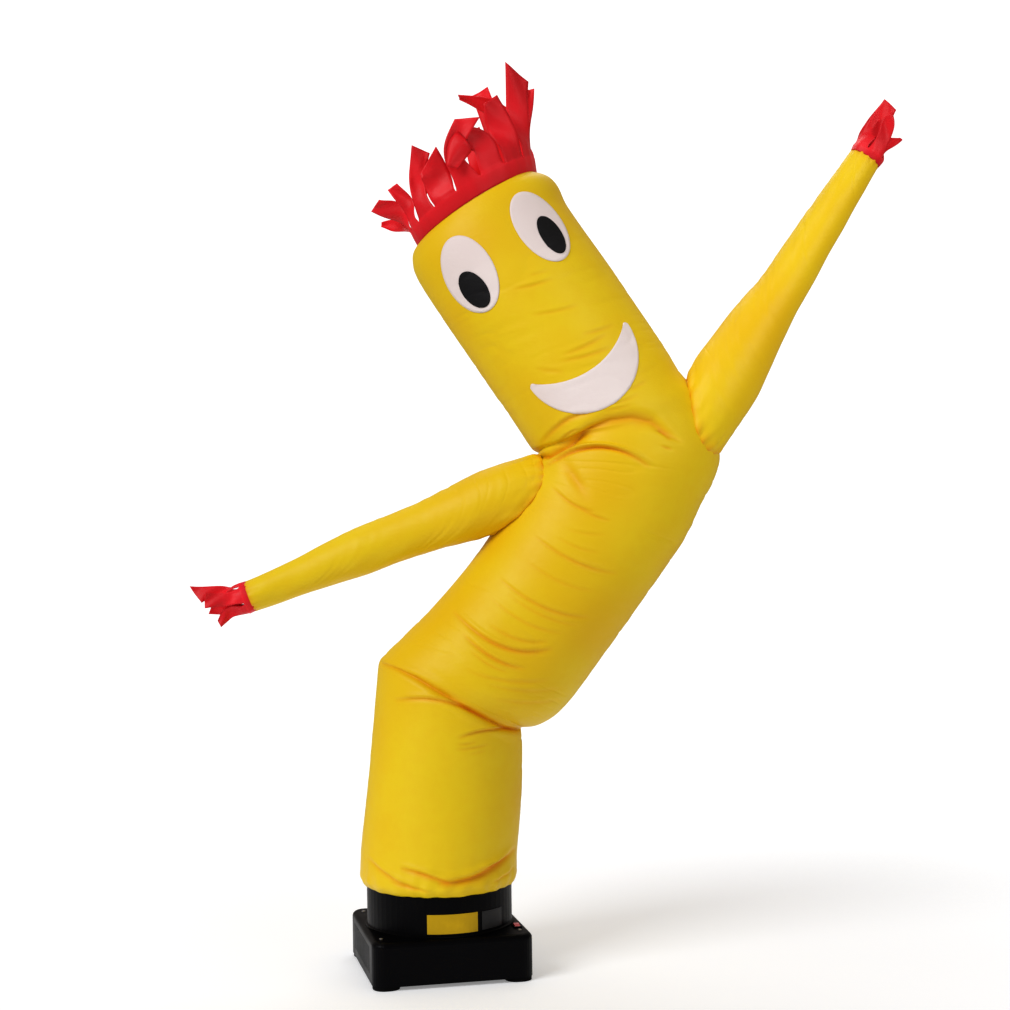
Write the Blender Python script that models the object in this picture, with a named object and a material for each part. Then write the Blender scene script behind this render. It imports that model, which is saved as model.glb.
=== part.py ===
"""Inflatable air dancer: a sewn nylon tube figure, blown up, on its square floor blower.

Metres, +Z up. The origin is in the middle of the blower's footprint, on the floor, and the blower faces -Y.
The figure leans in an upright plane of its own, turned a little about Z. Places in that plane are written
(across, up, back): across to the viewer's right, up from the floor, back away from the front.
"""

import math
from collections import namedtuple

import bmesh
import bpy
from mathutils import Matrix, Vector

# Blower
BASE_SIDE = 0.337
BASE_TOP = 0.098
FOOT_HEIGHT = 0.008
FOOT_SIDE = 0.056
FOOT_INSET = 0.002
BASE_CORNER_RADIUS = 0.028
UNDERSIDE_SIDE = 0.210
UNDERSIDE_PROUD = 0.001
BASE_EDGE_RADIUS = 0.011
COLLAR_RADIUS = 0.1545
COLLAR_WALL = 0.0035
COLLAR_TOP = 0.205
COLLAR_LIP_RADIUS = 0.1585
COLLAR_LIP_HEIGHT = 0.005
VENT_COUNT = 15
VENT_PITCH = 0.015
VENT_WIDTH = 0.0055
VENT_LOW = 0.024
VENT_HIGH = 0.080
VENT_DEPTH = 0.006
SCREW_ACROSS = 0.1460
SCREW_BACK = 0.1280
SCREW_RADIUS = 0.0045
SWITCH_AT = (0.1470, -0.0960)
BEZEL_SIZE = (0.0170, 0.0280)
BEZEL_HEIGHT = 0.0030
ROCKER_SIZE = (0.0110, 0.0210)
ROCKER_CLEARANCE = 0.0006
ROCKER_TILT = math.radians(9)

# Plain plates on the collar: angles from the front, positive to +X, and heights
Plate = namedtuple("Plate", "name start_deg end_deg low high material")
PLATES = (
    Plate("plate_yellow", -20.0, 20.0, 0.106, 0.146, "plate_yellow"),
    Plate("plate_grey", 24.0, 46.0, 0.107, 0.145, "plate_grey"),
)

# Figure
GAP = 0.0003
CLOTH = 0.0015
FIGURE_TURN = math.radians(-10.3)
RING_POINTS = 32
ARM_POINTS = 20

# Sections of the leg, torso and head tube, from the hem up. Each is a line from its left to its right side in
# the figure's plane; depth is half its thickness front to back, rise lifts its front along the tube, and back
# is how far its middle leans away.
Section = namedtuple("Section", "left_across left_up right_across right_up depth rise back")
BODY = tuple(
    Section(*row)
    for row in (
        (-0.1590, 0.1830, 0.1590, 0.1840, 0.159, 0.000, 0.000),
        (-0.1680, 0.1970, 0.1645, 0.1980, 0.166, 0.000, 0.000),
        (-0.1660, 0.2450, 0.1680, 0.2450, 0.167, 0.000, 0.000),
        (-0.1570, 0.3300, 0.1760, 0.3250, 0.166, 0.000, 0.000),
        (-0.1450, 0.4400, 0.1800, 0.4120, 0.163, 0.004, 0.000),
        (-0.1350, 0.5400, 0.1805, 0.4700, 0.164, 0.010, 0.000),
        (-0.1270, 0.6150, 0.1790, 0.4970, 0.166, 0.016, 0.000),
        (-0.1210, 0.6550, 0.1790, 0.5080, 0.160, 0.020, 0.000),
        (-0.1080, 0.6700, 0.2050, 0.5100, 0.163, 0.018, 0.000),
        (-0.0850, 0.6920, 0.2450, 0.5280, 0.170, 0.014, 0.000),
        (-0.0500, 0.7260, 0.2770, 0.5580, 0.170, 0.010, 0.000),
        (0.0000, 0.7760, 0.3150, 0.6060, 0.167, 0.006, 0.000),
        (0.0500, 0.8320, 0.3620, 0.6700, 0.165, 0.000, 0.000),
        (0.0950, 0.8880, 0.4110, 0.7350, 0.165, 0.000, 0.000),
        (0.1280, 0.9340, 0.4570, 0.7980, 0.165, 0.000, 0.000),
        (0.1550, 0.9800, 0.5000, 0.8580, 0.165, 0.000, 0.000),
        (0.1800, 1.0250, 0.5400, 0.9160, 0.164, 0.004, 0.000),
        (0.2000, 1.0580, 0.5720, 0.9810, 0.163, 0.010, 0.000),
        (0.2120, 1.0780, 0.6030, 1.0380, 0.163, 0.018, 0.000),
        (0.2190, 1.0890, 0.6130, 1.0800, 0.160, 0.026, 0.000),
        (0.2260, 1.0960, 0.6000, 1.1400, 0.156, 0.024, 0.000),
        (0.2120, 1.1040, 0.5830, 1.1880, 0.160, 0.010, 0.001),
        (0.2030, 1.1160, 0.5620, 1.2270, 0.166, 0.004, 0.003),
        (0.1860, 1.1410, 0.5330, 1.2600, 0.167, 0.004, 0.005),
        (0.1550, 1.1880, 0.5060, 1.3060, 0.167, 0.008, 0.009),
        (0.1150, 1.2480, 0.4700, 1.3620, 0.166, 0.012, 0.014),
        (0.0750, 1.3100, 0.4270, 1.4270, 0.165, 0.012, 0.020),
        (0.0350, 1.3720, 0.3830, 1.4930, 0.164, 0.012, 0.026),
        (0.0000, 1.4260, 0.3440, 1.5520, 0.163, 0.012, 0.032),
        (-0.0260, 1.4680, 0.3120, 1.6000, 0.161, 0.012, 0.037),
        (-0.0380, 1.4980, 0.2910, 1.6340, 0.158, 0.012, 0.041),
        (-0.0395, 1.5190, 0.2780, 1.6670, 0.154, 0.012, 0.044),
        (-0.0345, 1.5330, 0.2570, 1.6900, 0.149, 0.012, 0.047),
        (-0.0260, 1.5410, 0.2320, 1.6970, 0.145, 0.012, 0.049),
    )
)

# The closed top of the head, as shares of its seam ring and heights above it
CROWN_END = ((0.955, 0.0005), (0.80, 0.012), (0.55, 0.023), (0.25, 0.029))

# Arms: middle line and radius, from inside the torso to the wrist
ArmSection = namedtuple("ArmSection", "across up back radius")
ARM_LEFT = tuple(
    ArmSection(*row)
    for row in (
        (0.2420, 1.0300, -0.052, 0.064),
        (0.1670, 1.0090, -0.040, 0.069),
        (0.1100, 0.9890, -0.028, 0.067),
        (0.0500, 0.9670, -0.018, 0.0615),
        (-0.0200, 0.9400, -0.010, 0.052),
        (-0.0800, 0.9180, -0.006, 0.050),
        (-0.1500, 0.8925, -0.003, 0.049),
        (-0.2150, 0.8675, 0.000, 0.0445),
        (-0.2800, 0.8415, 0.000, 0.039),
        (-0.3400, 0.8185, 0.000, 0.0355),
        (-0.3940, 0.7985, 0.000, 0.0325),
    )
)
ARM_RIGHT = tuple(
    ArmSection(*row)
    for row in (
        (0.5300, 1.1030, -0.045, 0.066),
        (0.5900, 1.1940, -0.036, 0.0745),
        (0.6220, 1.2450, -0.028, 0.0755),
        (0.6540, 1.2960, -0.020, 0.070),
        (0.6860, 1.3460, -0.012, 0.064),
        (0.7470, 1.4330, -0.004, 0.052),
        (0.8050, 1.5210, 0.000, 0.0465),
        (0.8410, 1.5770, 0.000, 0.043),
        (0.8770, 1.6330, 0.000, 0.039),
        (0.9070, 1.6770, 0.000, 0.036),
        (0.9360, 1.7200, 0.000, 0.034),
    )
)

# Strips cut in the free edge of the crown of hair and of the cuffs, in order round the ring from its right
# side by way of the front. Each bends past a middle place to its tip, and turns by twist on the way.
Strip = namedtuple("Strip", "mid_across mid_up mid_back tip_across tip_up tip_back tip_width twist_deg")
HAIR_STRIPS = tuple(
    Strip(*row)
    for row in (
        (0.215, 1.810, 0.020, 0.222, 1.916, 0.015, 0.018, 60),
        (0.195, 1.811, -0.030, 0.169, 1.927, -0.030, 0.038, 30),
        (0.164, 1.816, -0.075, 0.095, 1.896, -0.085, 0.012, 50),
        (0.131, 1.789, -0.090, 0.080, 1.881, -0.105, 0.034, 15),
        (0.121, 1.845, -0.100, 0.072, 1.777, -0.130, 0.046, -15),
        (0.016, 1.751, -0.085, 0.054, 1.794, -0.105, 0.036, 40),
        (-0.012, 1.686, -0.065, -0.042, 1.760, -0.050, 0.044, 0),
        (-0.099, 1.658, -0.030, -0.184, 1.691, -0.040, 0.038, -60),
        (-0.097, 1.634, 0.045, -0.170, 1.637, 0.060, 0.030, 60),
        (-0.108, 1.697, 0.100, -0.147, 1.764, 0.120, 0.026, 30),
        (-0.076, 1.725, 0.135, -0.095, 1.801, 0.155, 0.012, 0),
        (-0.039, 1.745, 0.165, -0.043, 1.786, 0.195, 0.034, -15),
        (0.073, 1.763, 0.185, 0.074, 1.791, 0.215, 0.038, 15),
        (0.130, 1.822, 0.190, 0.115, 1.885, 0.205, 0.036, -20),
        (0.171, 1.838, 0.160, 0.197, 1.924, 0.170, 0.036, -30),
        (0.214, 1.807, 0.095, 0.207, 1.904, 0.110, 0.032, -60),
    )
)
CUFF_LEFT_STRIPS = tuple(
    Strip(*row)
    for row in (
        (-0.428, 0.762, -0.018, -0.490, 0.755, -0.030, 0.032, 25),
        (-0.465, 0.836, -0.022, -0.522, 0.831, -0.030, 0.038, -20),
        (-0.455, 0.825, 0.022, -0.505, 0.808, 0.045, 0.030, 20),
        (-0.435, 0.780, 0.022, -0.505, 0.782, 0.020, 0.032, -15),
    )
)
CUFF_RIGHT_STRIPS = tuple(
    Strip(*row)
    for row in (
        (0.990, 1.760, -0.006, 1.000, 1.800, -0.010, 0.030, 10),
        (0.948, 1.790, -0.024, 1.008, 1.856, -0.016, 0.036, 15),
        (0.938, 1.790, 0.020, 0.975, 1.835, 0.030, 0.030, -15),
        (0.985, 1.755, 0.024, 1.020, 1.779, 0.030, 0.010, 30),
    )
)

# Face pieces: middle, half length, half width, and the long axis's angle above the across direction
Oval = namedtuple("Oval", "name across up half_length half_width angle_deg lift material")
OVALS = (
    Oval("eye_white_left", 0.0812, 1.4667, 0.0857, 0.0515, -63.7, 1, "white_cloth"),
    Oval("eye_white_right", 0.2279, 1.5640, 0.0845, 0.0494, -55.7, 1, "white_cloth"),
    Oval("pupil_left", 0.0907, 1.4345, 0.0432, 0.0243, -54.0, 2, "black_cloth"),
    Oval("pupil_right", 0.2505, 1.5464, 0.0450, 0.0222, -59.0, 2, "black_cloth"),
)
PATCH = 0.0010
SMILE_MIDDLE = (0.3052, 1.2946)
SMILE_ANGLE = math.radians(33)
SMILE_HALF = 0.1218
SMILE_LOW = 0.1220
SMILE_HIGH = 0.0380
SMILE_TIP = 0.013

COLOURS = {
    "yellow_nylon": ((0.78, 0.50, 0.04), 0.55, 0.0),
    "red_nylon": ((0.62, 0.03, 0.04), 0.5, 0.0),
    "white_cloth": ((0.72, 0.66, 0.64), 0.7, 0.0),
    "black_cloth": ((0.01, 0.01, 0.012), 0.6, 0.0),
    "black_plastic": ((0.012, 0.012, 0.014), 0.4, 0.0),
    "foot_rubber": ((0.015, 0.015, 0.015), 0.8, 0.0),
    "screw_steel": ((0.45, 0.45, 0.46), 0.35, 1.0),
    "red_plastic": ((0.55, 0.02, 0.03), 0.3, 0.0),
    "plate_yellow": ((0.65, 0.46, 0.03), 0.45, 0.0),
    "plate_grey": ((0.16, 0.16, 0.16), 0.5, 0.0),
}


def clear_scene():
    for thing in list(bpy.data.objects):
        bpy.data.objects.remove(thing, do_unlink=True)


def material(name):
    colour, roughness, metallic = COLOURS[name]
    made = bpy.data.materials.get(name) or bpy.data.materials.new(name)
    made.use_nodes = True
    shader = made.node_tree.nodes["Principled BSDF"]
    shader.inputs["Base Color"].default_value = (*colour, 1.0)
    shader.inputs["Roughness"].default_value = roughness
    shader.inputs["Metallic"].default_value = metallic
    made.diffuse_color = (*colour, 1.0)
    return made


def add_object(name, work, material_name, smooth_deg=None):
    mesh = bpy.data.meshes.new(name)
    work.to_mesh(mesh)
    work.free()
    if smooth_deg is not None:
        mesh.shade_smooth()
        mesh.set_sharp_from_angle(angle=math.radians(smooth_deg))
    made = bpy.data.objects.new(name, mesh)
    bpy.context.collection.objects.link(made)
    if material_name:
        mesh.materials.append(material(material_name))
    return made


def as_cutter(thing):
    thing.hide_render = True
    thing.display_type = "WIRE"
    return thing


def add_boolean(thing, operation, other):
    cut = thing.modifiers.new(operation.title(), "BOOLEAN")
    cut.operation = operation
    cut.object = other
    cut.solver = "EXACT"


def figure_place(across, up, back):
    """A place in the figure's plane, turned into the blower's directions."""
    place = Vector((across, back, up))
    place.rotate(Matrix.Rotation(FIGURE_TURN, 3, "Z"))
    return place


FRONT = figure_place(0, 0, -1)


# Shapes of the figure


def body_ring(section, grow=1.0, lift=0.0):
    """The closed ring of one section, starting at its right side and going by way of the front."""
    left = figure_place(section.left_across, section.left_up, section.back)
    right = figure_place(section.right_across, section.right_up, section.back)
    middle = (left + right) / 2
    half = (right - left) / 2
    along = half.normalized().cross(-FRONT)
    ring = []
    for i in range(RING_POINTS):
        turn = math.tau * i / RING_POINTS
        rim = half * math.cos(turn) + FRONT * section.depth * math.sin(turn)
        rise = along * (section.rise * math.sin(turn) + lift)
        ring.append(middle + rim * grow + rise)
    return ring


def seam_frame():
    """Middle, axis, side and half widths of the ring where the head ends and the hair begins."""
    section = BODY[-1]
    left = figure_place(section.left_across, section.left_up, section.back)
    right = figure_place(section.right_across, section.right_up, section.back)
    return (left + right) / 2, (right - left).normalized().cross(-FRONT)


def bridge(work, lower, upper):
    count = len(lower)
    for i in range(count):
        work.faces.new((lower[i], lower[(i + 1) % count], upper[(i + 1) % count], upper[i]))


def body_surface():
    """The tube's outer surface with the head's domed end, open at the hem."""
    work = bmesh.new()
    rings = [body_ring(section) for section in BODY]
    rings += [body_ring(BODY[-1], grow, lift) for grow, lift in CROWN_END]
    rows = [[work.verts.new(place) for place in ring] for ring in rings]
    for lower, upper in zip(rows, rows[1:]):
        bridge(work, lower, upper)
    top = work.verts.new(seam_frame()[0] + seam_frame()[1] * (CROWN_END[-1][1] + 0.001))
    for i in range(RING_POINTS):
        work.faces.new((rows[-1][i], rows[-1][(i + 1) % RING_POINTS], top))
    bmesh.ops.recalc_face_normals(work, faces=work.faces)
    return work, rows


def body_envelope(name, distance):
    """The closed space inside the tube's outer surface, grown by a distance, for cutting its neighbours."""
    work, rows = body_surface()
    work.faces.new(list(reversed(rows[0])))
    bmesh.ops.recalc_face_normals(work, faces=work.faces)
    work.normal_update()
    grown = [vert.co + vert.normal * distance * vert.calc_shell_factor() for vert in work.verts]
    for vert, place in zip(work.verts, grown):
        vert.co = place
    return as_cutter(add_object(name, work, None))


def add_cloth_thickness(thing, offset=-1.0):
    solid = thing.modifiers.new("Cloth", "SOLIDIFY")
    solid.thickness = CLOTH
    solid.offset = offset
    solid.use_even_offset = True


def build_body():
    work, _ = body_surface()
    body = add_object("body_tube", work, "yellow_nylon", 60)
    add_cloth_thickness(body)


def arm_rings(sections):
    rings = []
    places = [figure_place(s.across, s.up, s.back) for s in sections]
    for i, section in enumerate(sections):
        along = (places[min(i + 1, len(places) - 1)] - places[max(i - 1, 0)]).normalized()
        side = along.cross(FRONT).normalized()
        front = side.cross(along)
        ring = []
        for j in range(ARM_POINTS):
            turn = math.tau * j / ARM_POINTS
            ring.append(places[i] + (side * math.cos(turn) + front * math.sin(turn)) * section.radius)
        rings.append(ring)
    return rings


def build_arm(name, sections, envelope):
    work = bmesh.new()
    rows = [[work.verts.new(place) for place in ring] for ring in arm_rings(sections)]
    for lower, upper in zip(rows, rows[1:]):
        bridge(work, lower, upper)
    bmesh.ops.recalc_face_normals(work, faces=work.faces)
    arm = add_object(name, work, "yellow_nylon", 60)
    add_cloth_thickness(arm)
    add_boolean(arm, "DIFFERENCE", envelope)


def curve_place(start, lead, middle, tip, share):
    """A place on the smooth curve that leaves start towards lead and passes near middle to tip."""
    a = start.lerp(lead, share)
    b = lead.lerp(middle, share)
    c = middle.lerp(tip, share)
    return a.lerp(b, share).lerp(b.lerp(c, share), share)


def fringed_ring(name, ring, band, strips, steps, shrink):
    """One comb of cloth: a closed band above ring, with its free edge cut into strips.

    ring has two points to a strip, band gives each of its points' move to the top of the band.
    """
    work = bmesh.new()
    low = [work.verts.new(place) for place in ring]
    high = [work.verts.new(place + band(i)) for i, place in enumerate(ring)]
    bridge(work, low, high)
    count = len(ring)
    for number, strip in enumerate(strips):
        columns = [(2 * number + k - 1) % count for k in range(3)]
        base = [high[k] for k in columns]
        middle = figure_place(strip.mid_across, strip.mid_up, strip.mid_back)
        tip = figure_place(strip.tip_across, strip.tip_up, strip.tip_back)
        start = base[1].co
        lead = start + (start - ring[columns[1]]).normalized() * (middle - start).length * 0.5
        full = base[0].co - base[2].co
        wide = full.length
        previous = base
        for step in range(1, steps + 1):
            share = step / steps
            place = curve_place(start, lead, middle, tip, share)
            ahead = curve_place(start, lead, middle, tip, share + 0.01) - place
            along = ahead.normalized()
            cross = (full - along * full.dot(along)).normalized()
            cross.rotate(Matrix.Rotation(math.radians(strip.twist_deg) * share, 3, along))
            width = wide * shrink + (strip.tip_width - wide * shrink) * share
            row = [work.verts.new(place + cross * width * side) for side in (0.5, 0.0, -0.5)]
            for k in range(2):
                work.faces.new((previous[k], previous[k + 1], row[k + 1], row[k]))
            previous = row
    bmesh.ops.recalc_face_normals(work, faces=work.faces)
    comb = add_object(name, work, "red_nylon", 60)
    add_cloth_thickness(comb, 0.0)


def build_hair():
    middle, axis = seam_frame()
    section = BODY[-1]
    right = figure_place(section.right_across, section.right_up, section.back)
    half = (right - middle) * 0.993
    depth = FRONT * section.depth * 0.993
    count = 2 * len(HAIR_STRIPS)
    ring = []
    outward = []
    for i in range(count):
        turn = math.tau * i / count
        rim = half * math.cos(turn) + depth * math.sin(turn)
        ring.append(middle + rim + axis * (section.rise * math.sin(turn) + 0.0022))
        outward.append(rim.normalized())

    def band(i):
        flare = math.radians(9 + 13 * math.cos(math.tau * i / count))
        return (axis * math.cos(flare) + outward[i] * math.sin(flare)) * 0.040

    fringed_ring("hair_crown", ring, band, HAIR_STRIPS, 7, 0.95)


def build_cuff(name, sections, strips, band_length):
    wrist = arm_rings(sections)[-1]
    middle = sum(wrist, Vector()) / len(wrist)
    last, before = (figure_place(s.across, s.up, s.back) for s in (sections[-1], sections[-2]))
    along = (last - before).normalized()
    side = along.cross(FRONT).normalized()
    front = side.cross(along)
    count = 2 * len(strips)
    ring = []
    for i in range(count):
        turn = math.tau * (i - 0.5) / count
        rim = (side * math.cos(turn) + front * math.sin(turn)) * sections[-1].radius * 0.97
        ring.append(middle + rim + along * 0.0012)

    def band(i):
        return along * band_length + (ring[i] - middle).normalized() * band_length * 0.08

    fringed_ring(name, ring, band, strips, 6, 0.92)


def add_patch(name, outline, lift, envelopes, material_name):
    """A thin patch lying on the head: the outline pushed through the space just over the tube's surface."""
    work = bmesh.new()
    near = [work.verts.new(figure_place(a, u, 0.0) + FRONT * 0.30) for a, u in outline]
    far = [work.verts.new(figure_place(a, u, 0.0) + FRONT * 0.0) for a, u in outline]
    bridge(work, far, near)
    work.faces.new(near)
    work.faces.new(list(reversed(far)))
    bmesh.ops.recalc_face_normals(work, faces=work.faces)
    patch = add_object(name, work, material_name)
    add_boolean(patch, "INTERSECT", envelopes[2 * lift - 1])
    add_boolean(patch, "DIFFERENCE", envelopes[2 * lift - 2])


def oval_outline(oval, points=28):
    angle = math.radians(oval.angle_deg)
    outline = []
    for i in range(points):
        turn = math.tau * i / points
        x = oval.half_length * math.cos(turn)
        y = oval.half_width * math.sin(turn)
        across = oval.across + x * math.cos(angle) - y * math.sin(angle)
        up = oval.up + x * math.sin(angle) + y * math.cos(angle)
        outline.append((across, up))
    return outline


def sagging_arc(half, sag, points):
    """Places along a circular arc below a level chord, from its left end to its right end."""
    radius = (half * half + sag * sag) / (2 * sag)
    reach = math.asin(min(1.0, half / radius))
    turns = [reach * (2 * i / (points - 1) - 1) for i in range(points)]
    return [(radius * math.sin(turn), radius - sag - radius * math.cos(turn)) for turn in turns]


def smile_outline():
    """A crescent between two arcs, with blunt tips."""
    low = sagging_arc(SMILE_HALF, SMILE_LOW, 25)
    high = sagging_arc(SMILE_HALF - SMILE_TIP, SMILE_HIGH, 15)
    outline = []
    for x, y in low + list(reversed(high)):
        across = SMILE_MIDDLE[0] + x * math.cos(SMILE_ANGLE) - y * math.sin(SMILE_ANGLE)
        up = SMILE_MIDDLE[1] + x * math.sin(SMILE_ANGLE) + y * math.cos(SMILE_ANGLE)
        outline.append((across, up))
    return outline


def build_face():
    distances = (GAP, GAP + PATCH, 2 * GAP + PATCH, 2 * GAP + 2 * PATCH)
    envelopes = [body_envelope(f"cutter_face_{i}", d) for i, d in enumerate(distances)]
    for oval in OVALS:
        add_patch(oval.name, oval_outline(oval), oval.lift, envelopes, oval.material)
    add_patch("smile", smile_outline(), 1, envelopes, "white_cloth")
    return envelopes[0]


# Shapes of the blower


def box(work, size, middle):
    matrix = Matrix.Translation(middle) @ Matrix.Diagonal((*size, 1.0))
    return bmesh.ops.create_cube(work, size=1.0, matrix=matrix)["verts"]


def bevel_edges(work, pick, width, segments):
    edges = [edge for edge in work.edges if pick(edge)]
    bmesh.ops.bevel(
        work, geom=edges, offset=width, segments=segments, profile=0.5, affect="EDGES", clamp_overlap=True
    )


def upright(edge):
    a, b = (vert.co for vert in edge.verts)
    return abs(a.z - b.z) > 1e-5 and (a.xy - b.xy).length < 1e-6


def level_at(height):
    return lambda edge: all(abs(vert.co.z - height) < 1e-6 for vert in edge.verts)


def build_base():
    work = bmesh.new()
    tall = BASE_TOP - FOOT_HEIGHT
    box(work, (BASE_SIDE, BASE_SIDE, tall), Vector((0, 0, FOOT_HEIGHT + tall / 2)))
    bevel_edges(work, upright, BASE_CORNER_RADIUS, 7)
    bevel_edges(work, level_at(BASE_TOP), BASE_EDGE_RADIUS, 5)
    base = add_object("blower_base", work, "black_plastic", 35)

    slots = bmesh.new()
    for side in (-1, 1):
        for i in range(VENT_COUNT):
            at = (i - (VENT_COUNT - 1) / 2) * VENT_PITCH
            middle = Vector((side * BASE_SIDE / 2, at, (VENT_LOW + VENT_HIGH) / 2))
            box(slots, (2 * VENT_DEPTH, VENT_WIDTH, VENT_HIGH - VENT_LOW), middle)
    add_boolean(base, "DIFFERENCE", as_cutter(add_object("cutter_vents", slots, None)))

    under = bmesh.new()
    middle = Vector((0, 0, FOOT_HEIGHT))
    box(under, (UNDERSIDE_SIDE, UNDERSIDE_SIDE, 2 * UNDERSIDE_PROUD), middle)
    add_boolean(base, "UNION", as_cutter(add_object("cutter_underside", under, None)))

    well = bmesh.new()
    size = (BEZEL_SIZE[0] - 0.004, BEZEL_SIZE[1] - 0.004, 0.024)
    box(well, size, Vector((*SWITCH_AT, BASE_TOP)))
    add_boolean(base, "DIFFERENCE", as_cutter(add_object("cutter_switch_well", well, None)))

    reach = BASE_SIDE / 2 - FOOT_INSET - FOOT_SIDE / 2
    corners = [(-1, -1), (1, -1), (1, 1), (-1, 1)]
    for number, (x, y) in enumerate(corners, 1):
        foot = bmesh.new()
        tall = FOOT_HEIGHT - GAP
        box(foot, (FOOT_SIDE, FOOT_SIDE, tall), Vector((x * reach, y * reach, tall / 2)))
        bevel_edges(foot, upright, 0.024, 6)
        add_object(f"foot_{number}", foot, "foot_rubber", 35)

        screw = bmesh.new()
        profile = [(SCREW_RADIUS, 0.0), (SCREW_RADIUS, 0.0008), (SCREW_RADIUS * 0.7, 0.0020)]
        rows = []
        for radius, height in profile:
            ring = [Vector((radius * math.cos(t), radius * math.sin(t), height)) for t in circle(16)]
            rows.append([screw.verts.new(place) for place in ring])
        for lower, upper in zip(rows, rows[1:]):
            bridge(screw, lower, upper)
        screw.faces.new(list(reversed(rows[0])))
        screw.faces.new(rows[-1])
        head = add_object(f"screw_{number}", screw, "screw_steel", 30)
        head.location = (x * SCREW_ACROSS, y * SCREW_BACK, BASE_TOP + GAP)


def circle(points):
    return [math.tau * i / points for i in range(points)]


def build_collar():
    """The round duct wall, turned from its section, with a small lip where it meets the deck."""
    foot = BASE_TOP + GAP
    section = (
        (COLLAR_LIP_RADIUS, foot),
        (COLLAR_LIP_RADIUS, foot + COLLAR_LIP_HEIGHT * 0.5),
        (COLLAR_RADIUS, foot + COLLAR_LIP_HEIGHT),
        (COLLAR_RADIUS, COLLAR_TOP - 0.001),
        (COLLAR_RADIUS - 0.001, COLLAR_TOP),
        (COLLAR_RADIUS - COLLAR_WALL, COLLAR_TOP),
        (COLLAR_RADIUS - COLLAR_WALL, foot),
    )
    work = bmesh.new()
    rows = []
    for turn in circle(64):
        ring = [Vector((r * math.cos(turn), r * math.sin(turn), z)) for r, z in section]
        rows.append([work.verts.new(place) for place in ring])
    for here, there in zip(rows, rows[1:] + rows[:1]):
        bridge(work, here, there)
    bmesh.ops.recalc_face_normals(work, faces=work.faces)
    add_object("blower_collar", work, "black_plastic", 35)


def build_plates():
    for plate in PLATES:
        work = bmesh.new()
        inner = COLLAR_RADIUS + GAP
        outer = inner + 0.0010
        steps = max(6, round((plate.end_deg - plate.start_deg) / 4))
        rows = []
        for i in range(steps + 1):
            span = plate.start_deg + (plate.end_deg - plate.start_deg) * i / steps
            turn = math.radians(span - 90)
            out = Vector((math.cos(turn), math.sin(turn), 0))
            corners = ((inner, plate.low), (outer, plate.low), (outer, plate.high), (inner, plate.high))
            rows.append([work.verts.new(out * r + Vector((0, 0, z))) for r, z in corners])
        for here, there in zip(rows, rows[1:]):
            bridge(work, here, there)
        work.faces.new(rows[0])
        work.faces.new(list(reversed(rows[-1])))
        bmesh.ops.recalc_face_normals(work, faces=work.faces)
        add_object(plate.name, work, plate.material, 30)


def build_switch():
    """A rocker in its surround. The rocker tips about a pin across its middle, level with the surround's top."""
    floor = BASE_TOP + GAP
    work = bmesh.new()
    box(work, (*BEZEL_SIZE, BEZEL_HEIGHT), Vector((*SWITCH_AT, floor + BEZEL_HEIGHT / 2)))
    bevel_edges(work, level_at(floor + BEZEL_HEIGHT), 0.0008, 2)
    bezel = add_object("switch_bezel", work, "black_plastic", 30)
    hole = bmesh.new()
    size = (ROCKER_SIZE[0] + 2 * ROCKER_CLEARANCE, ROCKER_SIZE[1] + 2 * ROCKER_CLEARANCE, 0.02)
    box(hole, size, Vector((*SWITCH_AT, floor)))
    add_boolean(bezel, "DIFFERENCE", as_cutter(add_object("cutter_bezel", hole, None)))

    half = ROCKER_SIZE[1] / 2
    rise = half * math.tan(ROCKER_TILT)
    profile = (
        (-half, -0.0060),
        (-half, 0.0012),
        (-half * 0.5, 0.0022 - rise * 0.15),
        (0.0, 0.0012),
        (half * 0.5, 0.0022 + rise * 0.15),
        (half, 0.0012),
        (half, -0.0060),
    )
    rocker = bmesh.new()
    left, right = (
        [rocker.verts.new((side * ROCKER_SIZE[0] / 2, y, z)) for y, z in profile] for side in (-1, 1)
    )
    bridge(rocker, left, right)
    rocker.faces.new(left)
    rocker.faces.new(list(reversed(right)))
    bmesh.ops.recalc_face_normals(rocker, faces=rocker.faces)
    key = add_object("switch_rocker", rocker, "red_plastic", 30)
    pin = bpy.data.objects.new("rocker_pin", None)
    pin.location = (*SWITCH_AT, floor + BEZEL_HEIGHT)
    bpy.context.collection.objects.link(pin)
    key.parent = pin
    key.rotation_euler = (ROCKER_TILT, 0, 0)


def main():
    clear_scene()
    build_base()
    build_collar()
    build_plates()
    build_switch()
    build_body()
    envelope = build_face()
    build_arm("arm_left", ARM_LEFT, envelope)
    build_arm("arm_right", ARM_RIGHT, envelope)
    build_hair()
    build_cuff("cuff_left", ARM_LEFT, CUFF_LEFT_STRIPS, 0.018)
    build_cuff("cuff_right", ARM_RIGHT, CUFF_RIGHT_STRIPS, 0.018)


main()
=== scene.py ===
import math
from collections import namedtuple

import bmesh
import bpy
import numpy as np
from mathutils import Matrix, Vector
from mathutils.bvhtree import BVHTree


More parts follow.
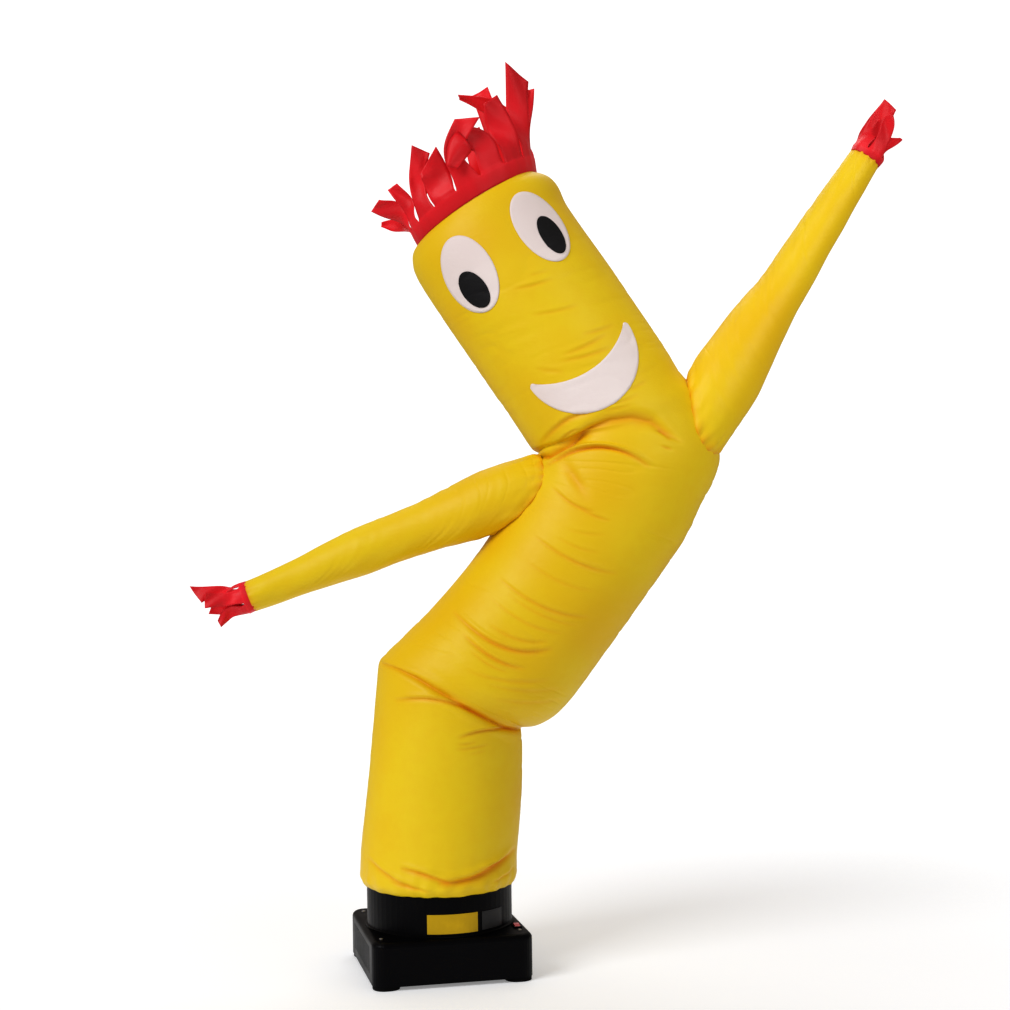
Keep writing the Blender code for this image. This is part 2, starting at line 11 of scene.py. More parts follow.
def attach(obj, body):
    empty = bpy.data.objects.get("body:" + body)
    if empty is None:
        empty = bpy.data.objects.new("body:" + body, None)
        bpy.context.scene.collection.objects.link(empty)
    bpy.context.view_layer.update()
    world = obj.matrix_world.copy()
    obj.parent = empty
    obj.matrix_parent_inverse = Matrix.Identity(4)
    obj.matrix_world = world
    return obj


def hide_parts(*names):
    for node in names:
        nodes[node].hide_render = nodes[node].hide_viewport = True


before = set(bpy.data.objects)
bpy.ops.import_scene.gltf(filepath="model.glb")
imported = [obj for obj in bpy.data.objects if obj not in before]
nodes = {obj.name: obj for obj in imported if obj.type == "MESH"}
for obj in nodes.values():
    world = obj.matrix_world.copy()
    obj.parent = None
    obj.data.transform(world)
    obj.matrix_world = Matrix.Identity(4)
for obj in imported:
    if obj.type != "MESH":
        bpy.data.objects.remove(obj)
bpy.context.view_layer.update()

scene = bpy.context.scene
print("stage: frame loaded")


# the figure stands in its own upright plane, turned a little about Z: across, up, back

figureTurn = math.radians(-10.3)
acrossWay = np.array((math.cos(figureTurn), math.sin(figureTurn), 0.0))
backWay = np.array((-math.sin(figureTurn), math.cos(figureTurn), 0.0))
upWay = np.array((0.0, 0.0, 1.0))
clothThick = 0.0012


def place(across, up, back):
    across, up, back = (np.asarray(part, float)[..., None] for part in (across, up, back))
    return across * acrossWay + up * upWay + back * backWay


def unit(vectors):
    return vectors / np.maximum(np.linalg.norm(vectors, axis=-1, keepdims=True), 1e-9)


def softStep(low, high, value):
    share = np.clip((value - low) / (high - low), 0.0, 1.0)
    return share * share * (3 - 2 * share)


def bell(value, width):
    return np.exp(-((value / width) ** 2))


def smoothRows(rows, at):
    # a curve through the rows that never swings past them
    rows = np.asarray(rows, float)
    last = len(rows) - 1
    step = np.diff(rows, axis=0)
    slope = np.zeros_like(rows)
    slope[0], slope[-1] = step[0], step[-1]
    before, after = step[:-1], step[1:]
    agree = before * after > 0
    slope[1:-1] = np.where(agree, 2 * before * after / np.where(agree, before + after, 1), 0)
    at = np.clip(at, 0, last)
    base = np.minimum(at.astype(int), last - 1)
    t = (at - base)[:, None]
    low = (2 * t**3 - 3 * t**2 + 1) * rows[base] + (t**3 - 2 * t**2 + t) * slope[base]
    high = (3 * t**2 - 2 * t**3) * rows[base + 1] + (t**3 - t**2) * slope[base + 1]
    return low + high


def drift(x, y, seed, wrapY=64):
    # soft random hills from -1 to 1 that repeat after wrapY steps of y
    hills = np.random.default_rng(seed).uniform(-1, 1, (97, wrapY))
    xs, ys = np.floor(x).astype(int), np.floor(y).astype(int)
    u, v = x - xs, y - ys
    u, v = u * u * (3 - 2 * u), v * v * (3 - 2 * v)
    corners = [hills[(xs + i) % 97, (ys + j) % wrapY] for i in (0, 1) for j in (0, 1)]
    low = corners[0] * (1 - v) + corners[1] * v
    high = corners[2] * (1 - v) + corners[3] * v
    return low * (1 - u) + high * u


def gridNormals(grid):
    roundWay = np.roll(grid, -1, axis=1) - np.roll(grid, 1, axis=1)
    return unit(np.cross(roundWay, np.gradient(grid, axis=0)))


# camera and light

view = {
    "at": (-0.7045, -3.8768, 1.0265),
    "panDeg": 12.5,
    "tiltDeg": -0.6,
    "rollDeg": -0.76,
    "lens": 65.76,
}

studio = {
    "aim": (0.25, 0.0, 1.0),
    "surround": 0.30,
    "surroundTint": (1.0, 0.90, 0.82, 1),
    "key": ((-6.4, -4.0, 5.6), 4.2, 420),
    "fill": ((4.2, -5.2, 2.6), 3.0, 12),
    "top": ((0.6, 1.8, 3.9), 2.2, 30),
    "armSpot": ((2.4, -4.4, 3.0), 0.6, 400, (0.80, -0.12, 1.47), 22),
    "floorRadius": 3.0,
}


def addCamera():
    pan, tilt, roll = (math.radians(view[key]) for key in ("panDeg", "tiltDeg", "rollDeg"))
    ahead = Vector((math.sin(pan) * math.cos(tilt), math.cos(pan) * math.cos(tilt), math.sin(tilt)))
    right = ahead.cross(Vector((0, 0, 1))).normalized()
    upward = right.cross(ahead)
    right, upward = (
        right * math.cos(roll) + upward * math.sin(roll),
        upward * math.cos(roll) - right * math.sin(roll),
    )
    data = bpy.data.cameras.new("viewCamera")
    data.lens = view["lens"]
    data.sensor_width = 36
    camera = bpy.data.objects.new("viewCamera", data)
    camera.matrix_world = Matrix((right, upward, -ahead)).transposed().to_4x4()
    camera.location = view["at"]
    scene.collection.objects.link(camera)
    scene.camera = camera


def addLight(name, at, size, power, aim):
    data = bpy.data.lights.new(name, "AREA")
    data.energy = power
    data.size = size
    hang(name, data, at, aim)


def addSpot(name, at, size, power, aim, coneDeg):
    data = bpy.data.lights.new(name, "SPOT")
    data.energy = power
    data.shadow_soft_size = size
    data.spot_size = math.radians(coneDeg)
    data.spot_blend = 1.0
    hang(name, data, at, aim)


def hang(name, data, at, aim):
    light = bpy.data.objects.new(name, data)
    light.location = at
    light.rotation_euler = (Vector(aim) - Vector(at)).to_track_quat("-Z", "Y").to_euler()
    scene.collection.objects.link(light)


def addSurround():
    world = bpy.data.worlds.new("studioAir")
    scene.world = world
    world.use_nodes = True
    tree = world.node_tree
    tree.nodes.clear()
    out = tree.nodes.new("ShaderNodeOutputWorld")
    seen = tree.nodes.new("ShaderNodeBackground")
    seen.inputs["Strength"].default_value = 1.0
    seen.inputs["Color"].default_value = (1, 1, 1, 1)
    lit = tree.nodes.new("ShaderNodeBackground")
    lit.inputs["Strength"].default_value = studio["surround"]
    lit.inputs["Color"].default_value = studio["surroundTint"]
    path = tree.nodes.new("ShaderNodeLightPath")
    mix = tree.nodes.new("ShaderNodeMixShader")
    tree.links.new(path.outputs["Is Camera Ray"], mix.inputs[0])
    tree.links.new(lit.outputs[0], mix.inputs[1])
    tree.links.new(seen.outputs[0], mix.inputs[2])
    tree.links.new(mix.outputs[0], out.inputs["Surface"])


addCamera()
addSurround()
for name in ("key", "fill", "top"):
    addLight(name, *studio[name], studio["aim"])
addSpot("armSpot", *studio["armSpot"])
scene.view_settings.view_transform = "Standard"
scene.view_settings.look = "Medium High Contrast"
print("stage: camera and light")


# shader building


class Shade:
    # one output of a node, so that masks and colours are written as sums

    def __init__(self, finish, socket):
        self.finish = finish
        self.socket = socket

    def maths(self, operation, first, second):
        return self.finish.node("Math", {"operation": operation}, {0: first, 1: second})

    def __add__(self, other):
        return self.maths("ADD", self, other)

    def __rsub__(self, other):
        return self.maths("SUBTRACT", other, self)

    def __mul__(self, other):
        return self.maths("MULTIPLY", self, other)

    def __pow__(self, other):
        return self.maths("POWER", self, other)

    def between(self, low, high, fromLow=0.0, fromHigh=1.0):
        sockets = {"Value": self, "From Min": fromLow, "From Max": fromHigh, "To Min": low, "To Max": high}
        return self.finish.node("MapRange", {"interpolation_type": "SMOOTHSTEP"}, sockets)


class Finish:
    # a material, its shader, and the one way in which its other nodes are made

    def __init__(self, name, **constants):
        self.material = bpy.data.materials.new(name)
        self.material.use_nodes = True
        self.tree = self.material.node_tree
        self.shader = self.tree.nodes["Principled BSDF"]
        for key, value in constants.items():
            self.shader.inputs[key.replace("_", " ")].default_value = value

    def feed(self, socket, value):
        if isinstance(value, Shade):
            self.tree.links.new(value.socket, socket)
        elif isinstance(value, (tuple, list)) and socket.type == "RGBA":
            socket.default_value = (*value, 1.0)[:4]
        else:
            socket.default_value = value

    def node(self, kind, settings=None, sockets=None, output=0):
        made = self.tree.nodes.new("ShaderNode" + kind)
        for key, value in (settings or {}).items():
            if key == "stops":
                for number, (at, colour) in enumerate(value):
                    if number > 1:
                        made.color_ramp.elements.new(at)
                    made.color_ramp.elements[number].position = at
                    made.color_ramp.elements[number].color = (*colour, 1.0)
            else:
                setattr(made, key, value)
        for key, value in (sockets or {}).items():
            self.feed(made.inputs[key], value)
        return Shade(self, made.outputs[output])

    def mix(self, share, low, high):
        return self.node("Mix", {"data_type": "RGBA"}, {0: share, 6: low, 7: high}, output=2)

    def places(self, stretch=(1, 1, 1)):
        at = self.node("TexCoord", output=3)
        return self.node("Mapping", {"vector_type": "POINT"}, {"Vector": at, "Scale": stretch})

    def cloud(self, scale, detail=3.0, stretch=(1, 1, 1), roughness=0.5):
        sockets = {"Vector": self.places(stretch), "Scale": scale, "Detail": detail, "Roughness": roughness}
        return self.node("TexNoise", None, sockets)

    def marked(self, name):
        return self.node("Attribute", {"attribute_name": name}, output=2)

    def colour(self, value):
        self.feed(self.shader.inputs["Base Color"], value)

    def roughness(self, value):
        self.feed(self.shader.inputs["Roughness"], value)

    def bump(self, height, depth, strength=1.0):
        lift = self.node("Bump", None, {"Height": height, "Distance": depth, "Strength": strength})
        self.feed(self.shader.inputs["Normal"], lift)


# the crease colours are painted shade: darker tints that the crease mark lays into folds, creases and joins
nylon = {
    "yellow": (0.81, 0.590, 0.012),
    "yellowDeep": (0.78, 0.490, 0.006),
    "yellowCreaseShade": (0.76, 0.260, 0.002),
    "red": (0.90, 0.020, 0.034),
    "redDeep": (0.70, 0.012, 0.020),
    "redCreaseShade": (0.38, 0.006, 0.010),
    "white": (0.85, 0.77, 0.76),
    "whiteDeep": (0.78, 0.68, 0.67),
    "black": (0.006, 0.006, 0.008),
    "blackDeep": (0.003, 0.003, 0.004),
}


def clothFinish(name, light, deep, crease, roughness):
    finish = Finish(name, Specular_IOR_Level=0.25)
    broad = finish.cloud(3.1, 2.0)
    fine = finish.cloud(38.0, 4.0)
    tone = finish.mix(broad.between(0, 1, 0.35, 0.7), light, deep)
    tone = finish.mix(fine.between(0, 0.22, 0.3, 0.75), tone, deep)
    # painted shade: the crease mark pulls the colour towards the crease colour in folds, creases and joins
    tone = finish.mix(finish.marked("crease"), tone, crease)
    finish.colour(tone)
    finish.roughness(fine * 0.16 + (roughness - 0.08))
    weave = weaveHeight(finish, 0.0021)
    crinkle = finish.cloud(55.0, 5.0, (1, 1, 1.9), 0.62)
    finish.bump(crinkle * 0.85 + weave * 0.15, 0.0014, 0.55)
    return finish.material


def weaveHeight(finish, thread):
    # plain weave from two crossed sets of threads
    turns = math.tau / thread
    at = finish.node("SeparateXYZ", None, {0: finish.node("TexCoord", output=3)})
    rise = Shade(finish, at.socket.node.outputs[2])
    level = at * 1.0 + Shade(finish, at.socket.node.outputs[1]) * 0.35
    one = finish.node("Math", {"operation": "SINE"}, {0: level * turns})
    two = finish.node("Math", {"operation": "SINE"}, {0: rise * turns})
    return one * two * 0.5 + 0.5


yellowNylon = clothFinish("yellowNylon", nylon["yellow"], nylon["yellowDeep"], nylon["yellowCreaseShade"], 0.46)
redNylon = clothFinish("redNylon", nylon["red"], nylon["redDeep"], nylon["redCreaseShade"], 0.44)
whiteCloth = clothFinish("whiteCloth", nylon["white"], nylon["whiteDeep"], nylon["whiteDeep"], 0.6)
blackCloth = clothFinish("blackCloth", nylon["black"], nylon["blackDeep"], nylon["blackDeep"], 0.55)
print("stage: cloth finishes")


# mesh helpers


def meshObject(name, points, faces, material, **shadeMarks):
    mesh = bpy.data.meshes.new(name)
    mesh.from_pydata([tuple(p) for p in points], [], faces)
    mesh.materials.append(material)
    mesh.shade_smooth()
    for shadeMark, values in shadeMarks.items():
        layer = mesh.attributes.new(shadeMark, "FLOAT", "POINT")
        layer.data.foreach_set("value", np.asarray(values, np.float32))
    made = bpy.data.objects.new(name, mesh)
    scene.collection.objects.link(made)
    return made


def gridFaces(rows, columns, closed=True, first=0):
    faces = []
    last = columns if closed else columns - 1
    for i in range(rows - 1):
        for j in range(last):
            k = (j + 1) % columns
            low, high = first + i * columns, first + (i + 1) * columns
            faces.append((low + j, low + k, high + k, high + j))
    return faces


def thicken(piece, thickness, offset=-1.0):
    solid = piece.modifiers.new("thickness", "SOLIDIFY")
    solid.thickness = thickness
    solid.offset = offset
    bpy.context.view_layer.objects.active = piece
    with bpy.context.temp_override(object=piece, active_object=piece, selected_objects=[piece]):
        bpy.ops.object.modifier_apply(modifier=solid.name)
    return piece


def treeOf(piece):
    mesh = piece.data
    corners = [corner.co.copy() for corner in mesh.vertices]
    return BVHTree.FromPolygons(corners, [tuple(face.vertices) for face in mesh.polygons])


# leg, torso and head: one tube through these sections, from the hem up. Each is a line from its left to its
# right side in the figure's plane; depth is half its thickness, rise lifts its front along the tube, back is
# how far it leans away, and row is the length of cloth to a row of the mesh

Section = namedtuple("Section", "leftAcross leftUp rightAcross rightUp depth rise back row")
bodySections = (
    Section(-0.159, 0.183, 0.159, 0.184, 0.159, 0.0, 0.0, 0.003),
    Section(-0.168, 0.197, 0.1645, 0.198, 0.166, 0.0, 0.0, 0.003),
    Section(-0.166, 0.245, 0.168, 0.245, 0.167, 0.0, 0.0, 0.0035),
    Section(-0.157, 0.33, 0.176, 0.325, 0.166, 0.0, 0.0, 0.005),
    Section(-0.145, 0.44, 0.18, 0.412, 0.163, 0.004, 0.0, 0.003),
    Section(-0.135, 0.54, 0.1805, 0.47, 0.164, 0.01, 0.0, 0.002),
    Section(-0.127, 0.615, 0.179, 0.497, 0.166, 0.016, 0.0, 0.0018),
    Section(-0.121, 0.655, 0.179, 0.508, 0.16, 0.02, 0.0, 0.0022),
    Section(-0.108, 0.67, 0.205, 0.51, 0.163, 0.018, 0.0, 0.0026),
    Section(-0.085, 0.692, 0.245, 0.528, 0.17, 0.014, 0.0, 0.0028),
    Section(-0.05, 0.726, 0.277, 0.558, 0.17, 0.01, 0.0, 0.0028),
    Section(0.0, 0.776, 0.315, 0.606, 0.167, 0.006, 0.0, 0.003),
    Section(0.05, 0.832, 0.362, 0.67, 0.165, 0.0, 0.0, 0.003),
    Section(0.095, 0.888, 0.411, 0.735, 0.165, 0.0, 0.0, 0.003),
    Section(0.128, 0.934, 0.457, 0.798, 0.165, 0.0, 0.0, 0.003),
    Section(0.155, 0.98, 0.5, 0.858, 0.165, 0.0, 0.0, 0.0026),
    Section(0.18, 1.025, 0.54, 0.916, 0.164, 0.004, 0.0, 0.0024),
    Section(0.2, 1.058, 0.572, 0.981, 0.163, 0.01, 0.0, 0.002),
    Section(0.212, 1.078, 0.603, 1.038, 0.163, 0.018, 0.0, 0.002),
    Section(0.219, 1.089, 0.613, 1.08, 0.16, 0.026, 0.0, 0.002),
    Section(0.226, 1.096, 0.6, 1.14, 0.156, 0.024, 0.0, 0.002),
    Section(0.212, 1.104, 0.583, 1.188, 0.16, 0.01, 0.001, 0.0028),
    Section(0.203, 1.116, 0.562, 1.227, 0.166, 0.004, 0.003, 0.0034),
    Section(0.186, 1.141, 0.533, 1.26, 0.167, 0.004, 0.005, 0.0035),
    Section(0.155, 1.188, 0.506, 1.306, 0.167, 0.008, 0.009, 0.0035),
    Section(0.115, 1.248, 0.47, 1.362, 0.166, 0.012, 0.014, 0.0035),
    Section(0.075, 1.31, 0.427, 1.427, 0.165, 0.012, 0.02, 0.0035),
    Section(0.035, 1.372, 0.383, 1.493, 0.164, 0.012, 0.026, 0.0035),
    Section(0.0, 1.426, 0.344, 1.552, 0.163, 0.012, 0.032, 0.0035),
    Section(-0.026, 1.468, 0.312, 1.6, 0.161, 0.012, 0.037, 0.0035),
    Section(-0.038, 1.498, 0.291, 1.634, 0.158, 0.012, 0.041, 0.003),
    Section(-0.0395, 1.519, 0.278, 1.667, 0.154, 0.012, 0.044, 0.003),
    Section(-0.0345, 1.533, 0.257, 1.69, 0.149, 0.012, 0.047, 0.003),
    Section(-0.026, 1.541, 0.232, 1.697, 0.145, 0.012, 0.049, 0.003),
)

# the closed end of the head under the hair: share of the seam ring, and height above it
headEnd = ((1.0, 0.0), (0.955, 0.0005), (0.80, 0.012), (0.55, 0.023), (0.25, 0.029), (0.02, 0.030))

# folds pressed into the front: ends in the figure's plane, sag of the middle below the straight line,
# half width of the valley, its depth, and the height of the lit ridge on its upper side
Fold = namedtuple("Fold", "across1 up1 across2 up2 sag width depth ridge")
bodyFolds = (
    # behind the knee
    Fold(-0.088, 0.583, 0.112, 0.543, -0.024, 0.0045, 0.005, 0.0045),
    Fold(0.178, 0.511, 0.042, 0.509, -0.013, 0.004, 0.005, 0.003),
    Fold(0.04, 0.497, 0.082, 0.501, 0.002, 0.003, 0.002, 0.001),
    Fold(0.036, 0.487, 0.108, 0.494, 0.003, 0.0032, 0.0022, 0.0012),
    Fold(0.064, 0.476, 0.1, 0.482, 0.002, 0.0028, 0.0014, 0.0008),
    # long curved folds over the belly
    Fold(0.036, 0.768, 0.24, 0.69, 0.034, 0.0055, 0.0052, 0.0034),
    Fold(0.056, 0.722, 0.182, 0.65, 0.014, 0.005, 0.0044, 0.003),
    Fold(0.11, 0.742, 0.232, 0.706, 0.014, 0.0042, 0.0024, 0.0016),
    Fold(0.07, 0.69, 0.15, 0.644, 0.008, 0.004, 0.002, 0.0012),
    Fold(0.062, 0.65, 0.236, 0.624, 0.012, 0.005, 0.0018, 0.0012),
    Fold(0.098, 0.622, 0.262, 0.604, 0.01, 0.0045, 0.0014, 0.001),
    Fold(0.12, 0.588, 0.262, 0.578, 0.006, 0.0045, 0.0014, 0.001),
    Fold(0.132, 0.836, 0.318, 0.752, 0.02, 0.0045, 0.003, 0.002),
    Fold(0.146, 0.806, 0.292, 0.736, 0.012, 0.004, 0.0018, 0.0012),
    Fold(0.116, 0.794, 0.262, 0.722, 0.016, 0.004, 0.002, 0.0012),
    Fold(0.206, 0.922, 0.378, 0.842, 0.016, 0.0045, 0.003, 0.002),
    Fold(0.25, 0.92, 0.34, 0.886, 0.006, 0.0035, 0.0014, 0.001),
    Fold(0.272, 0.936, 0.352, 0.924, 0.004, 0.0035, 0.0012, 0.0008),
    Fold(0.19, 0.87, 0.33, 0.806, 0.012, 0.004, 0.0014, 0.001),
    # under the chin
    Fold(0.232, 1.062, 0.446, 1.06, -0.042, 0.0045, 0.0075, 0.008),
    Fold(0.246, 1.022, 0.33, 0.972, 0.012, 0.004, 0.003, 0.002),
    Fold(0.3, 0.978, 0.362, 0.952, 0.004, 0.0036, 0.0024, 0.0014),
    Fold(0.226, 1.112, 0.33, 1.17, -0.02, 0.006, 0.004, 0.002),
    Fold(0.262, 1.116, 0.3, 1.142, -0.004, 0.0035, 0.0024, 0.001),
    Fold(0.46, 1.138, 0.492, 1.114, -0.004, 0.004, 0.005, 0.003),
    Fold(0.47, 1.106, 0.492, 1.098, 0.002, 0.0032, 0.0034, 0.002),
    Fold(0.372, 1.192, 0.424, 1.212, 0.003, 0.004, 0.0014, 0.001),
    Fold(0.352, 1.178, 0.408, 1.19, 0.002, 0.004, 0.0014, 0.001),
    # on the head
    Fold(0.17, 1.432, 0.252, 1.452, 0.003, 0.004, 0.0022, 0.0014),
    Fold(0.2, 1.46, 0.244, 1.471, 0.002, 0.0038, 0.0012, 0.0008),
    Fold(0.206, 1.378, 0.302, 1.396, 0.003, 0.0042, 0.0018, 0.0012),
    Fold(0.31, 1.336, 0.378, 1.357, 0.003, 0.0042, 0.0016, 0.0012),
    Fold(0.27, 1.294, 0.36, 1.336, 0.004, 0.0042, 0.0024, 0.0014),
    Fold(0.262, 1.281, 0.368, 1.308, 0.004, 0.0042, 0.0024, 0.0014),
    Fold(0.216, 1.268, 0.272, 1.26, 0.002, 0.0045, 0.0016, 0.001),
    Fold(0.404, 1.221, 0.44, 1.238, 0.002, 0.004, 0.0014, 0.001),
    # above the hem
    Fold(-0.15, 0.252, -0.04, 0.204, 0.01, 0.0055, 0.004, 0.003),
    Fold(-0.082, 0.242, 0.024, 0.21, -0.004, 0.006, 0.0055, 0.004),
    Fold(-0.004, 0.214, 0.166, 0.262, 0.016, 0.0085, 0.009, 0.005),
    Fold(-0.104, 0.213, -0.016, 0.197, 0.002, 0.004, 0.003, 0.002),
    Fold(0.082, 0.236, 0.15, 0.252, 0.004, 0.0045, 0.0036, 0.003),
    Fold(0.112, 0.204, 0.16, 0.222, 0.003, 0.004, 0.003, 0.002),
)

# the deep creases where the tube kinks, as lines across the front, with width and depth at each place
Crease = namedtuple("Crease", "across up width depth")
kneeCrease = (
    Crease(-0.124, 0.657, 0.0036, 0.003),
    Crease(-0.086, 0.65, 0.004, 0.0065),
    Crease(-0.043, 0.633, 0.0045, 0.0095),
    Crease(0.019, 0.599, 0.005, 0.011),
    Crease(0.089, 0.556, 0.0055, 0.012),
    Crease(0.14, 0.526, 0.0055, 0.012),
    Crease(0.18, 0.508, 0.005, 0.008),
)
neckCrease = (
    Crease(0.216, 1.088, 0.005, 0.009),
    Crease(0.241, 1.088, 0.0055, 0.014),
    Crease(0.27, 1.104, 0.006, 0.015),
    Crease(0.298, 1.122, 0.0065, 0.014),
    Crease(0.325, 1.14, 0.008, 0.012),
    Crease(0.363, 1.156, 0.011, 0.0105),
    Crease(0.41, 1.162, 0.012, 0.01),
    Crease(0.449, 1.154, 0.009, 0.0095),
    Crease(0.486, 1.13, 0.005, 0.007),
    Crease(0.51, 1.112, 0.004, 0.0015),
)

# a leaf shaped hollow below the left end of the neck, slanting 60 degrees down to the right
# its last value is painted shade laid into the hollow
neckLeaf = {"across": 0.291, "up": 1.038, "length": 0.036, "width": 0.0105, "depth": 0.0065, "shadeTint": 0.3}

body = {
    "columns": 144,
    "frontShare": 0.16,
    "gathers": 27,
    "gatherDepth": 0.0032,
    "billow": 0.0016,
    "crinkle": 0.0006,
    "hairline": 0.0017,
    "foldScale": 0.78,
    "innerRow": 3,
    "innerColumn": 3,
    "innerWall": 0.0045,
}


def tubeRings(at, turns, sections=bodySections):
    rows = smoothRows([section[:7] for section in sections], at)
    left = place(rows[:, 0], rows[:, 1], rows[:, 6])
    right = place(rows[:, 2], rows[:, 3], rows[:, 6])
    middle, half = (left + right) / 2, (right - left) / 2
    along = np.cross(unit(half), backWay)
    depth, rise = rows[:, 4, None, None], rows[:, 5, None, None]
    c, s = np.cos(turns)[None, :, None], np.sin(turns)[None, :, None]
    return middle[:, None] + half[:, None] * c - backWay * depth * s + along[:, None] * rise * s


def rowPlaces():
    # section numbers of the mesh's rows, closer together where the cloth is folded
    places = []
    for i, (low, high) in enumerate(zip(bodySections, bodySections[1:])):
        left = math.hypot(high.leftAcross - low.leftAcross, high.leftUp - low.leftUp)
        right = math.hypot(high.rightAcross - low.rightAcross, high.rightUp - low.rightUp)
        count = max(2, round((left + right) / 2 / low.row))
        places += [i + j / count for j in range(count)]
    return np.array(places + [len(bodySections) - 1.0])


def columnTurns():
    even = np.arange(body["columns"]) / body["columns"] * math.tau
    return even + body["frontShare"] * np.cos(even)


def lineDistance(across, up, line):
    # distance to a bent line, signed up, with the share along it
    best = np.full(across.shape, 9.0)
    sign = np.zeros(across.shape)
    share = np.zeros(across.shape)
    steps = len(line) - 1
    for i in range(steps):
        a, b = line[i], line[i + 1]
        run = b - a
        length = max(float(run @ run), 1e-12)
        t = np.clip(((across - a[0]) * run[0] + (up - a[1]) * run[1]) / length, 0, 1)
        dx, dy = across - a[0] - t * run[0], up - a[1] - t * run[1]
        gap = np.hypot(dx, dy)
        near = gap < best
        best = np.where(near, gap, best)
        side = np.sign(run[0] * dy - run[1] * dx) * (1 if run[0] >= 0 else -1)
        sign = np.where(near, side, sign)
        share = np.where(near, (i + t) / steps, share)
    return best, sign, share


def foldLine(fold, points=14):
    a, b = np.array((fold.across1, fold.up1)), np.array((fold.across2, fold.up2))
    share = np.linspace(0, 1, points)[:, None]
    return a + (b - a) * share - np.array((0, 1)) * fold.sag * 4 * share * (1 - share)


def pressFolds(across, up, folds):
    push, shadeMark = np.zeros(across.shape), np.zeros(across.shape)
    for fold in folds:
        gap, sign, share = lineDistance(across, up, foldLine(fold))
        taper = np.clip(np.sin(np.pi * np.clip(share, 0, 1)), 0, 1) ** 0.6
        width = fold.width * body["foldScale"]
        valley = np.exp(-(gap / width) ** 1.4)
        ridge = bell(gap - 1.8 * width, 1.1 * width) * (sign > 0)
        push += (fold.ridge * ridge - fold.depth * valley) * taper
        # painted shade: this second result darkens the colour in the fold's valley
        shadeMark += valley * taper * min(1.0, fold.depth / 0.007)
    return push, shadeMark


def pressCrease(across, up, crease):
    line = np.array([(c.across, c.up) for c in crease])
    gap, _, share = lineDistance(across, up, line)
    at = share.ravel() * (len(crease) - 1)
    sizes = smoothRows([(c.width, c.depth) for c in crease], at)
    width, depth = sizes[:, 0].reshape(gap.shape), sizes[:, 1].reshape(gap.shape)
    valley = np.exp(-(gap / width) ** 1.15)
    shoulder = bell(gap - 2.6 * width, 1.6 * width)
    # the second result is painted shade along the crease
    return depth * (0.16 * shoulder - valley), valley * np.minimum(1.0, depth / 0.012)


def evenOut(grid, weight, times):
    for _ in range(times):
        soft = grid.copy()
        soft[1:-1] = (grid[:-2] + 2 * grid[1:-1] + grid[2:]) / 4
        grid = grid + (soft - grid) * weight
    return grid


def innerSkin(grid, outward, push, up):
    # the cloth's inner side, coarser and everywhere inside the deepest fold near it
    low = push.copy()
    for shift in range(-4, 5):
        low = np.minimum(low, np.roll(push, shift, axis=0))
    low = np.minimum.reduce([np.roll(low, shift, axis=1) for shift in range(-3, 4)])
    wall = clothThick + (body["innerWall"] - clothThick) * softStep(0.19, 0.27, up)
    inner = grid + outward * (low - wall)[..., None]
    return inner[:: body["innerRow"], :: body["innerColumn"]]


def closeHead(grid, rows, wall):
    # the shallow dome under the hair
    ring = bodySections[-1]
    left = place(ring.leftAcross, ring.leftUp, ring.back)
    right = place(ring.rightAcross, ring.rightUp, ring.back)
    middle, axis = (left + right) / 2, np.cross(unit(right - left), backWay)
    end = []
    for share in np.linspace(0, len(headEnd) - 1, rows)[1:]:
        size, lift = smoothRows(headEnd, np.array([share]))[0]
        end.append(middle + (grid[-1] - middle) * size + axis * (lift - wall))
    return np.concatenate((grid, np.array(end)))


def facesOut(piece):
    work = bmesh.new()
    work.from_mesh(piece.data)
    bmesh.ops.recalc_face_normals(work, faces=work.faces)
    work.to_mesh(piece.data)
    work.free()


